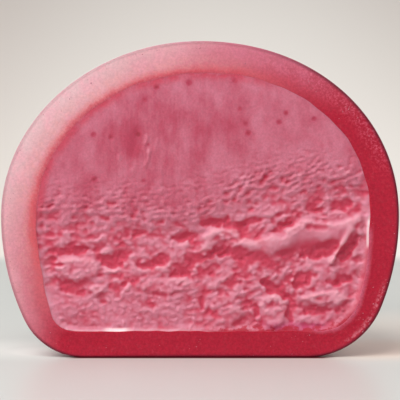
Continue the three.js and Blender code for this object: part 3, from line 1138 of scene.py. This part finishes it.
def dough_material(settings):
    """Translucent dough: pale where light soaks in at the upper left, crimson elsewhere. That
    paleness is painted light, and a line of painted shade runs along the edge of the cut.
    """
    recipe = Recipe("rice_dough")
    depth, inner, cut = recipe.attributes("depth", "inner", "cut")
    soak, light = dough_light(recipe, settings, depth)
    light = recipe.layered(light, *dough_blemishes(recipe, settings, soak, depth))
    light = recipe.layered(light, *dough_stains(recipe, settings, inner, cut))
    uneven = recipe.noise(0.3 * MM, 3, 0.7).between(0.3, 0.7) - 0.5
    light = recipe.shaded(light, uneven * soak.between(-0.3, 0.3, 0.3, 0.15) + 1)
    # Painted shade: a dark line on the skin just behind the edge of the cut, strongest where less
    # light soaks in.
    rim = depth.fading(0.12, 0.52, 0.8) * soak.between(-0.1, 0.5, 1.0, 0.5) * cut
    dust = recipe.inside(DUSTED_EDGE) * depth.between(0.35, 0.6) * depth.fading(0.6, 1.1, 0.4)
    dust = dust * recipe.noise(0.5 * MM, 3, 0.7).between(0.42, 0.60)
    powder = recipe.noise(3.5 * MM, 4, 0.6).between(0.3, 0.7, 0.25, 0.55)
    fine = recipe.noise(0.25 * MM, 2).between(0.35, 0.65, 0.6, 1.0)
    skin = 1 - cut
    colour = recipe.layered(
        light,
        (rim, settings.rim_shade_colour),
        (dust, settings.patch_colour),
        (skin * 0.4, settings.light_colour),
        (skin * powder * fine, settings.powder_colour),
    )
    relief = recipe.bump(recipe.noise(0.7 * MM, 3), 0.05 * MM)
    return recipe.finish_soft(colour, powder * 0.3 + 0.36, 0.4 * MM, 0.15, relief)


CREAM_STEPS_AROUND = 200
CREAM_STEPS_BACK = 50
SLAB_MARGIN = 0.6 * MM  # how far the slab of the face reaches past the ice cream


def build_ice_cream(settings):
    """The filling: a dome whose front is the torn face."""
    profile = CAVITY.grown(-settings.clearance)
    reach = profile.half_width + SLAB_MARGIN
    left, right = profile.middle - reach, profile.middle + reach
    bottom, top = profile.floor - SLAB_MARGIN, profile.crown + SLAB_MARGIN
    columns, rows = round((right - left) / settings.step), round((top - bottom) / settings.step)
    xs, zs = np.linspace(left, right, columns + 1) / MM, np.linspace(bottom, top, rows + 1) / MM
    face = torn_face(xs, zs, inset_of(*np.meshgrid(xs, zs), profile))
    slab = new_piece("slab", torn_slab(face, settings))
    dome = new_piece("dome", whole_dome(profile, CREAM_STEPS_AROUND, CREAM_STEPS_BACK))
    cut = dome.modifiers.new("cut", "BOOLEAN")
    cut.operation, cut.solver, cut.object = "INTERSECT", "MANIFOLD", slab
    graph = bpy.context.evaluated_depsgraph_get()
    bm = bmesh.new()
    bm.from_mesh(bpy.data.meshes.new_from_object(dome.evaluated_get(graph)))
    for scrap in (dome, slab):
        bpy.data.objects.remove(scrap)
    paint_face(bm, face, profile)
    return bm


def torn_slab(face, settings):
    """A closed slab behind the torn face."""
    bm = bmesh.new()
    columns, rows = len(face.xs) - 1, len(face.zs) - 1
    bmesh.ops.create_grid(
        bm,
        x_segments=columns,
        y_segments=rows,
        size=0.5,
        matrix=Matrix.Rotation(math.radians(90), 4, "X"),
    )
    for vertex in bm.verts:
        column, row = round((vertex.co.x + 0.5) * columns), round((vertex.co.z + 0.5) * rows)
        height = face.height[row, column] * settings.relief
        vertex.co = Vector((face.xs[column], CUT_Y / MM - height, face.zs[row])) * MM
    rim = [edge for edge in bm.edges if edge.is_boundary]

    def to_back(vertex):
        vertex.co.y = SHELL_HIGH.y

    back = next_loop(bm, rim, to_back)
    bmesh.ops.contextual_create(bm, geom=back)
    bmesh.ops.recalc_face_normals(bm, faces=bm.faces)
    return bm


RIM_WIDTH = 0.02  # in millimetres
CRUMB_BLUR, FORM_BLUR, SLOPE_BLUR = 0.12, 0.7, 0.20  # radii in millimetres
OUTLINE_STEPS = 1440
SHARP_ANGLE = math.radians(40)
FACE_VALUES = ("opened", "proud", "upward", "torn", "stain", "inset")


def paint_face(bm, face, profile):
    """Stores how deep, how frosty and how torn each point of the face is, where the depth and the
    slopes that face up or down also carry painted shade and painted highlight.
    """
    x, _, z = np.array([vertex.co for vertex in bm.verts]).T / MM
    cells = 1 / (face.xs[1] - face.xs[0])
    proud = blurred(face.height, CRUMB_BLUR * cells) - blurred(face.height, FORM_BLUR * cells)
    upward = np.clip(-np.gradient(face.height, face.zs, axis=0), -1, 2)
    opened, upward = blurred(face.opened, CRUMB_BLUR * cells), blurred(upward, SLOPE_BLUR * cells)
    grids = (opened, proud, upward, face.torn, face.stain)
    values = [face.sample(grid, x, z) for grid in grids] + [inset_of(x, z, profile)]
    for name, array in zip(FACE_VALUES, values):
        layer = bm.verts.layers.float.new(name)
        for vertex, value in zip(bm.verts, array):
            vertex[layer] = value
    inset = bm.verts.layers.float["inset"]
    for edge in bm.edges:
        on_rim = all(vertex[inset] < RIM_WIDTH for vertex in edge.verts)
        if on_rim and edge.calc_face_angle(0) > SHARP_ANGLE:
            edge.smooth = False


def inset_of(x, z, profile):
    """How far points of the face lie inside the outline, all in millimetres."""
    turns = np.linspace(-math.pi, math.pi, OUTLINE_STEPS + 1)
    reaches = [profile.reach(around(turn)) / MM for turn in turns]
    x, z = x - profile.middle / MM, z - WAIST / MM
    return np.interp(np.arctan2(x, -z), turns, reaches) - np.hypot(x, z)


# Parts of the cut where the ice cream changes colour along its rim.
FROSTED_RIGHT = Area(x_from=(15, 17.5), z_from=(4, 7), z_to=(16, 20))
FROSTED_LEFT = Area(x_to=(-16.5, -15), z_to=(10, 13))
SOAKED_CORNER = Area(x_from=(12, 16), z_to=(14.5, 16.5))
VIOLET_PATCH = Area(x_from=(6, 10), x_to=(13.5, 16.5), z_to=(4.5, 7))
MELTED_BASE = Area(x_from=(-1, 3), z_to=(4.5, 6))
HOAR_BASE = Area(x_from=(-17, -15), x_to=(-2, 0), z_to=(4, 4.8))
BRIGHT_HOAR = Area(x_from=(-12, -10.8), x_to=(-9.3, -8), z_to=(4, 4.8))
HOAR_RIGHT = Area(x_from=(18, 19), z_from=(13, 14), z_to=(16.5, 17.5))
PALE_TINT = (1.07, 1.5, 1.38)
ROSY_TINT = (0.84, 0.42, 0.55)


def tinted(colour, tint):
    """A colour with each of its channels times a factor."""
    return tuple(channel * factor for channel, factor in zip(colour, tint))


def smear_colour(recipe, settings, stain):
    """Ice cream under the knife: cloudy, with upright streaks, stains and bubbles, the bubbles
    darkened with painted shade.
    """
    x = recipe.across("X")
    streaks = recipe.noise(0.45 * MM, 2, 0.6, stretch=(1, 1, 9)) - 0.5
    streaks = streaks * x.between(-16, -10) * x.between(0, 6, 1.0, 0.15)
    clouds = recipe.noise(2.6 * MM, 4, 0.6, stretch=(1, 1, 1.5)) - 0.5
    smudges = recipe.noise(0.8 * MM, 3, 0.6, stretch=(1, 1, 2.2)) - 0.5
    tint = stain * 0.5 - clouds * 1.4 - smudges * 0.4 - streaks * 0.4 + 0.42
    pale, rosy = (tinted(settings.smear_colour, by) for by in (PALE_TINT, ROSY_TINT))
    smear = recipe.mix(tint.between(0.0, 1.0), pale, rosy)
    return recipe.mix(tint.between(1.0, 1.9), smear, settings.spot_and_shade_colour)


def rim_layers(recipe, settings, inset, torn):
    """Stains, frost and melt where the ice cream meets the dough, as layers of colour."""
    blotch = recipe.noise(1.3 * MM, 3, 0.6).between(0.35, 0.6)
    seam = inset.fading(0.1, 1.2) * recipe.towards(*UPPER_LEFT).between(5, 11)
    film = recipe.inside(FROSTED_RIGHT) + recipe.inside(FROSTED_LEFT) * 0.6
    film = film * inset.fading(0.2, 1.6, 0.8)
    soaked = inset.fading(0.0, 0.8, 0.85) * recipe.inside(SOAKED_CORNER)
    violet = inset.fading(0.3, 2.0) * recipe.inside(VIOLET_PATCH)
    melted = (inset - blotch * 0.9).fading(-0.4, 0.3, 0.95) * recipe.inside(MELTED_BASE)
    hoar = recipe.inside(HOAR_BASE) * 0.15 + recipe.inside(HOAR_RIGHT) * 0.7
    hoar = hoar * inset.fading(0.15, 0.40)
    hoar = hoar + recipe.inside(BRIGHT_HOAR) * inset.fading(0.35, 0.65, 0.75)
    return (
        (seam * (blotch * 0.6 + 0.4) * (1 - torn), settings.seam_colour),
        (film * (blotch * 0.7 + 0.3), settings.film_colour),
        (soaked, settings.seam_colour),
        (violet * (blotch * 0.4 + 0.6), settings.violet_colour),
        (melted, settings.melted_colour),
        (hoar, settings.line_colour),
    )


def ice_cream_material(settings):
    """Frozen cream: smeared and streaked above, red hollows and frosty flakes below. The red of
    the hollows is mostly painted shade and the frost is partly a painted highlight.
    """
    recipe = Recipe("ice_cream")
    opened, proud, upward, torn, stain, inset = recipe.attributes(*FACE_VALUES)
    # Painted shade: the colour reddens where the face is open and on slopes that face down.
    depth = (opened * 0.9 - proud - upward * torn * 0.3).between(-0.1, 0.8, 0.0, 0.9)
    # Partly real frost on proud edges, partly a painted highlight on slopes that face up.
    frost_and_highlight = (upward * 0.5 + proud * 3).between(0.0, 1.3, 0.0, 0.52)
    colour = recipe.layered(
        smear_colour(recipe, settings, stain),
        (torn * 0.6, settings.torn_colour),
        (depth, settings.red_and_shade_colour),
        (frost_and_highlight, settings.frost_and_highlight_colour),
        *rim_layers(recipe, settings, inset, torn),
    )
    crumb = recipe.noise(0.22 * MM, 3, 0.6)
    uneven = (crumb.between(0.3, 0.7) - 0.5) * (1 - torn) * 0.16
    colour, relief = recipe.shaded(colour, uneven + 1), recipe.bump(crumb, 0.02 * MM)
    return recipe.finish_soft(colour, torn * 0.2 + 0.5, 0.35 * MM, 0.35, relief)


# Clusters of starch on the cut dough, in millimetres: x, z, spread and how many grains.
CLUSTERS = (
    (17.6, 30.1, 0.6, 12),
    (20.0, 27.3, 0.3, 4),
    (13.5, 33.3, 0.7, 6),
    (21.8, 8.6, 0.9, 10),
    (21.1, 16.4, 0.3, 3),
    (10.5, 1.6, 1.6, 8),
    (20.2, 3.6, 0.7, 10),
)
BARE_FOOT = 1 * MM  # no loose grains below this height
EDGE_GAP = 0.3 * MM  # none nearer to the edge of the cut than this
EDGE_SPREAD = 0.7 * MM
BACK_GAP, BACK_SPREAD, BACK_END = 0.03, 0.5, 1.5  # angles behind the cut, on the skin
STARCH_SEED = 7
SIZE_SPREAD = 0.4  # of the grains, as that of a logarithm
FLATTEST = 0.6


def on_cut(x, z, spread, draw):
    """A place on the cut ring, scattered about a middle."""
    x, z = x + draw.gauss(0, spread), z + draw.gauss(0, spread)
    turn = math.atan2(x, WAIST - z)
    depth = SKIN.reach(around(turn)) - math.hypot(x, z - WAIST)
    return ring_point(turn, max(depth, EDGE_GAP))[0]


def on_skin(draw):
    """A place near the edge of the cut: on the cut ring or on the skin behind it."""
    turn = draw.uniform(-math.pi, math.pi)
    if draw.random() >= 0.5:
        back = abs(draw.gauss(0, BACK_SPREAD)) + BACK_GAP
        return SKIN.point(around(turn, min(back, BACK_END)))
    return ring_point(turn, abs(draw.gauss(0, 1)) * EDGE_SPREAD + EDGE_GAP)[0]


def build_starch(settings):
    """Loose grains of starch along the outer edge of the cut and over the skin."""
    draw = random.Random(STARCH_SEED)
    bm = bmesh.new()
    places = [
        on_cut(x * MM, z * MM, spread * MM, draw)
        for x, z, spread, count in CLUSTERS
        for _ in range(count)
    ]
    strewn = [on_skin(draw) for _ in range(settings.count)]
    for place in places + [place for place in strewn if place.z > BARE_FOOT]:
        size = settings.size * draw.lognormvariate(0, SIZE_SPREAD)
        turned = Matrix.Rotation(draw.uniform(0, math.tau), 4, Vector((1, 0.3, 0.7)).normalized())
        sides = draw.uniform(FLATTEST, 1), draw.uniform(FLATTEST, 1)
        stretched = Matrix.Diagonal((1, *sides, 1))
        bmesh.ops.create_icosphere(
            bm,
            subdivisions=1,
            radius=size / 2,
            matrix=Matrix.Translation(place) @ turned @ stretched,
        )
    return bm


def starch_material(settings):
    """Dry starch, a little uneven."""
    recipe = Recipe("starch")
    shade = recipe.noise(0.1 * MM, 1).between(0.3, 0.7)
    colour = recipe.mix(shade, tinted(settings.colour, (0.85,) * 3), settings.colour)
    return recipe.finish(colour, 0.8)


# ---- stage

IMAGE_SIDE = 400
OBJECT_SIDE = 398.7  # how many pixels of the image the object is wide
FRAME_MIDDLE_Z = 19.11 * MM
SENSOR_WIDTH = 36
CLIPPING = (0.01, 20)
KEY_PLACE, KEY_WIDTH, KEY_WATTS = (-0.17, -0.30, 0.38), 0.45, 2.8
KEY_COLOUR = (1, 0.99, 0.98)
WORLD_COLOUR, WORLD_STRENGTH = (1.0, 0.98, 0.97, 1), 0.55


def aimed(name, data, place, height):
    """Puts a camera or a light at a place, aimed at the cut at a height."""
    made = bpy.data.objects.new(name, data)
    made.location = place
    aim = Vector((0, CUT_Y, height))
    made.rotation_euler = (aim - made.location).to_track_quat("-Z", "Y").to_euler()
    bpy.context.scene.collection.objects.link(made)
    return made


def add_camera(settings):
    """A camera that looks straight at the cut and a little down."""
    view_width = 2 * HALF_WIDTH * IMAGE_SIDE / OBJECT_SIDE
    data = bpy.data.cameras.new("camera")
    data.sensor_width = SENSOR_WIDTH
    data.lens = SENSOR_WIDTH * settings.distance / view_width
    data.clip_start, data.clip_end = CLIPPING
    away = Vector((0, -math.cos(settings.elevation), math.sin(settings.elevation)))
    place = Vector((0, CUT_Y, FRAME_MIDDLE_Z)) + away * settings.distance
    bpy.context.scene.camera = aimed("camera", data, place, FRAME_MIDDLE_Z)


def add_key_light():
    """A round, soft light from the upper left, aimed at the cut."""
    data = bpy.data.lights.new("key", "AREA")
    data.shape, data.size = "DISK", KEY_WIDTH
    data.energy, data.color = KEY_WATTS, KEY_COLOUR
    aimed("key", data, KEY_PLACE, WAIST)


# The table's run along Y: its front, where the slope starts and its far end.
TABLE_HALF, TABLE_FRONT, TABLE_BACK, TABLE_FAR = 1.2, -1.2, 0.104, 1.6
SLOPE, SLOPE_BEND, SLOPE_HEIGHT = math.radians(13), 0.05, 0.053
BEND_STEPS = 8


def build_table():
    """A table top that rises behind the piece in a gentle slope to a low step."""
    bm = bmesh.new()
    ends = [bm.verts.new((x, TABLE_FRONT, 0)) for x in (-TABLE_HALF, TABLE_HALF)]
    rim = [bm.edges.new(ends)]
    turns = [SLOPE * i / BEND_STEPS for i in range(BEND_STEPS + 1)]
    foot = [(SLOPE_BEND * math.sin(a), SLOPE_BEND * (1 - math.cos(a))) for a in turns]
    run = 2 * foot[-1][0] + (SLOPE_HEIGHT - 2 * foot[-1][1]) / math.tan(SLOPE)
    path = [(TABLE_BACK + y, z) for y, z in foot]
    path += [(TABLE_BACK + run - y, SLOPE_HEIGHT - z) for y, z in reversed(foot)]
    for y, z in path + [(TABLE_FAR, SLOPE_HEIGHT)]:

        def place(vertex, y=y, z=z):
            vertex.co.yz = y, z

        rim = next_loop(bm, rim, place)
    bmesh.ops.recalc_face_normals(bm, faces=bm.faces)
    return bm


# Pools of painted light on the table, in millimetres: x and y of the middle, how far
# out the pool is full, how far out it ends, and its share.
GLOW_POOL = (24, 12, 6, 34, 0.85)
BOUNCE_POOL = (22, -4, 4, 13, 0.85)
BRIGHT_POOL = (-21, -4, 3, 13, 0.65)
SPARK_POOL = (-18.5, -6, 2, 6, 0.6)
DULL, BRIGHT, SPARK = 0.985, 1.35, 1.62  # as shares of the table's colour
# The painted contact shadow, a dark line under the base of the cut, as the soft edges of its x and
# y.
CONTACT_X = ((-16.5, -14.5), (14.5, 16.5))
CONTACT_Y = ((-12.8, -12.2), (-11.5, -10.5))
# Painted light: the slope has a glow about this middle that dims towards the corners.
SLOPE_MIDDLE = (7, 100)  # x and y of the brightest part of the slope
SLOPE_FADE = (16, 82)
SLOPE_SQUEEZE = 0.18  # how short a length along the slope looks from the front


def table_material(settings):
    """Pale, slightly glossy table with painted light and shadow near the piece, and a paler slope
    with a painted glow.
    """
    recipe = Recipe("table")
    x, y, z = (recipe.across(axis) for axis in "XYZ")

    def distance(middle_x, middle_y, squeeze=1.0):
        across, along = x - middle_x, (y - middle_y) * squeeze
        return (across * across + along * along) ** 0.5

    def pool(middle_x, middle_y, full, end, share):
        return distance(middle_x, middle_y).fading(full, end, share)

    away = distance(*SLOPE_MIDDLE, SLOPE_SQUEEZE)
    dim = away.between(*SLOPE_FADE)
    slope = recipe.mix(dim, settings.slope_glow_colour, settings.slope_dim_colour)
    cloud = recipe.noise(0.12, 2).between(0.3, 0.7)
    dull, bright, spark = (
        tinted(settings.table_colour, (share,) * 3) for share in (DULL, BRIGHT, SPARK)
    )
    contact_shadow = y.between(*CONTACT_Y[0]) * y.fading(*CONTACT_Y[1])
    contact_shadow = contact_shadow * x.between(*CONTACT_X[0]) * x.fading(*CONTACT_X[1])
    table = recipe.layered(
        recipe.mix(cloud, dull, settings.table_colour),
        (pool(*GLOW_POOL), settings.glow_colour),
        (pool(*BOUNCE_POOL), settings.bounce_colour),
        (pool(*BRIGHT_POOL), bright),
        (pool(*SPARK_POOL), spark),
        (contact_shadow, settings.contact_shadow_colour),
    )
    return recipe.finish(recipe.mix(z.between(0, 1), table, slope), 0.34)


def set_world():
    """An even, slightly warm light from all sides."""
    world = bpy.data.worlds.new("studio")
    world.use_nodes = True
    background = world.node_tree.nodes["Background"]
    background.inputs["Color"].default_value = WORLD_COLOUR
    background.inputs["Strength"].default_value = WORLD_STRENGTH
    scene = bpy.context.scene
    scene.world = world
    scene.view_settings.view_transform = "Standard"


# ---- operators


class MOCHI_OT_stage(bpy.types.Operator):
    """Sets the camera, the light and the table"""

    bl_idname = "mochi.stage"
    bl_label = "Stage"

    def execute(self, context):
        settings = context.scene.mochi_stage
        add_camera(settings)
        add_key_light()
        set_world()
        new_piece("table", build_table(), table_material(settings))
        return {"FINISHED"}


class MOCHI_OT_dough(bpy.types.Operator):
    """Models the half shell of rice dough"""

    bl_idname = "mochi.dough"
    bl_label = "Rice dough"

    def execute(self, context):
        settings = context.scene.mochi_dough
        bm, material = build_dough(settings), dough_material(settings)
        new_piece("dough_shell", bm, material, node="mochi_shell", slot="rice_dough")
        return {"FINISHED"}


class MOCHI_OT_ice_cream(bpy.types.Operator):
    """Models the ice cream with its torn face"""

    bl_idname = "mochi.ice_cream"
    bl_label = "Ice cream"

    def execute(self, context):
        settings = context.scene.mochi_ice_cream
        bm, material = build_ice_cream(settings), ice_cream_material(settings)
        new_piece("torn_ice_cream", bm, material, node="ice_cream", slot="ice_cream")
        return {"FINISHED"}


class MOCHI_OT_starch(bpy.types.Operator):
    """Scatters grains of starch on the dough"""

    bl_idname = "mochi.starch"
    bl_label = "Starch"

    def execute(self, context):
        settings = context.scene.mochi_starch
        bm, material = build_starch(settings), starch_material(settings)
        new_piece("starch_grains", bm, material, slot="rice_dough")
        return {"FINISHED"}


class MOCHI_PT_panel(bpy.types.Panel):
    """Lists the steps and their sizes and colours"""

    bl_idname = "MOCHI_PT_panel"
    bl_label = "Mochi"
    bl_space_type = "VIEW_3D"
    bl_region_type = "UI"
    bl_category = "Mochi"

    def draw(self, context):
        for operator, pointer, _ in STEPS:
            box = self.layout.box()
            box.operator(operator.bl_idname)
            group = getattr(context.scene, pointer)
            for name in group.__annotations__:
                box.prop(group, name)


# Each step's operator, where the scene keeps its settings and what they are.
STEPS = (
    (MOCHI_OT_stage, "mochi_stage", MochiStage),
    (MOCHI_OT_dough, "mochi_dough", MochiDough),
    (MOCHI_OT_ice_cream, "mochi_ice_cream", MochiIceCream),
    (MOCHI_OT_starch, "mochi_starch", MochiStarch),
)


def register():
    for operator, pointer, group in STEPS:
        bpy.utils.register_class(group)
        setattr(bpy.types.Scene, pointer, bpy.props.PointerProperty(type=group))
        bpy.utils.register_class(operator)
    bpy.utils.register_class(MOCHI_PT_panel)


def unregister():
    bpy.utils.unregister_class(MOCHI_PT_panel)
    for operator, pointer, group in reversed(STEPS):
        bpy.utils.unregister_class(operator)
        delattr(bpy.types.Scene, pointer)
        bpy.utils.unregister_class(group)


def main():
    register()
    bpy.ops.mochi.stage()
    bpy.ops.mochi.dough()
    bpy.ops.mochi.ice_cream()
    bpy.ops.mochi.starch()


if __name__ == "__main__":
    main()
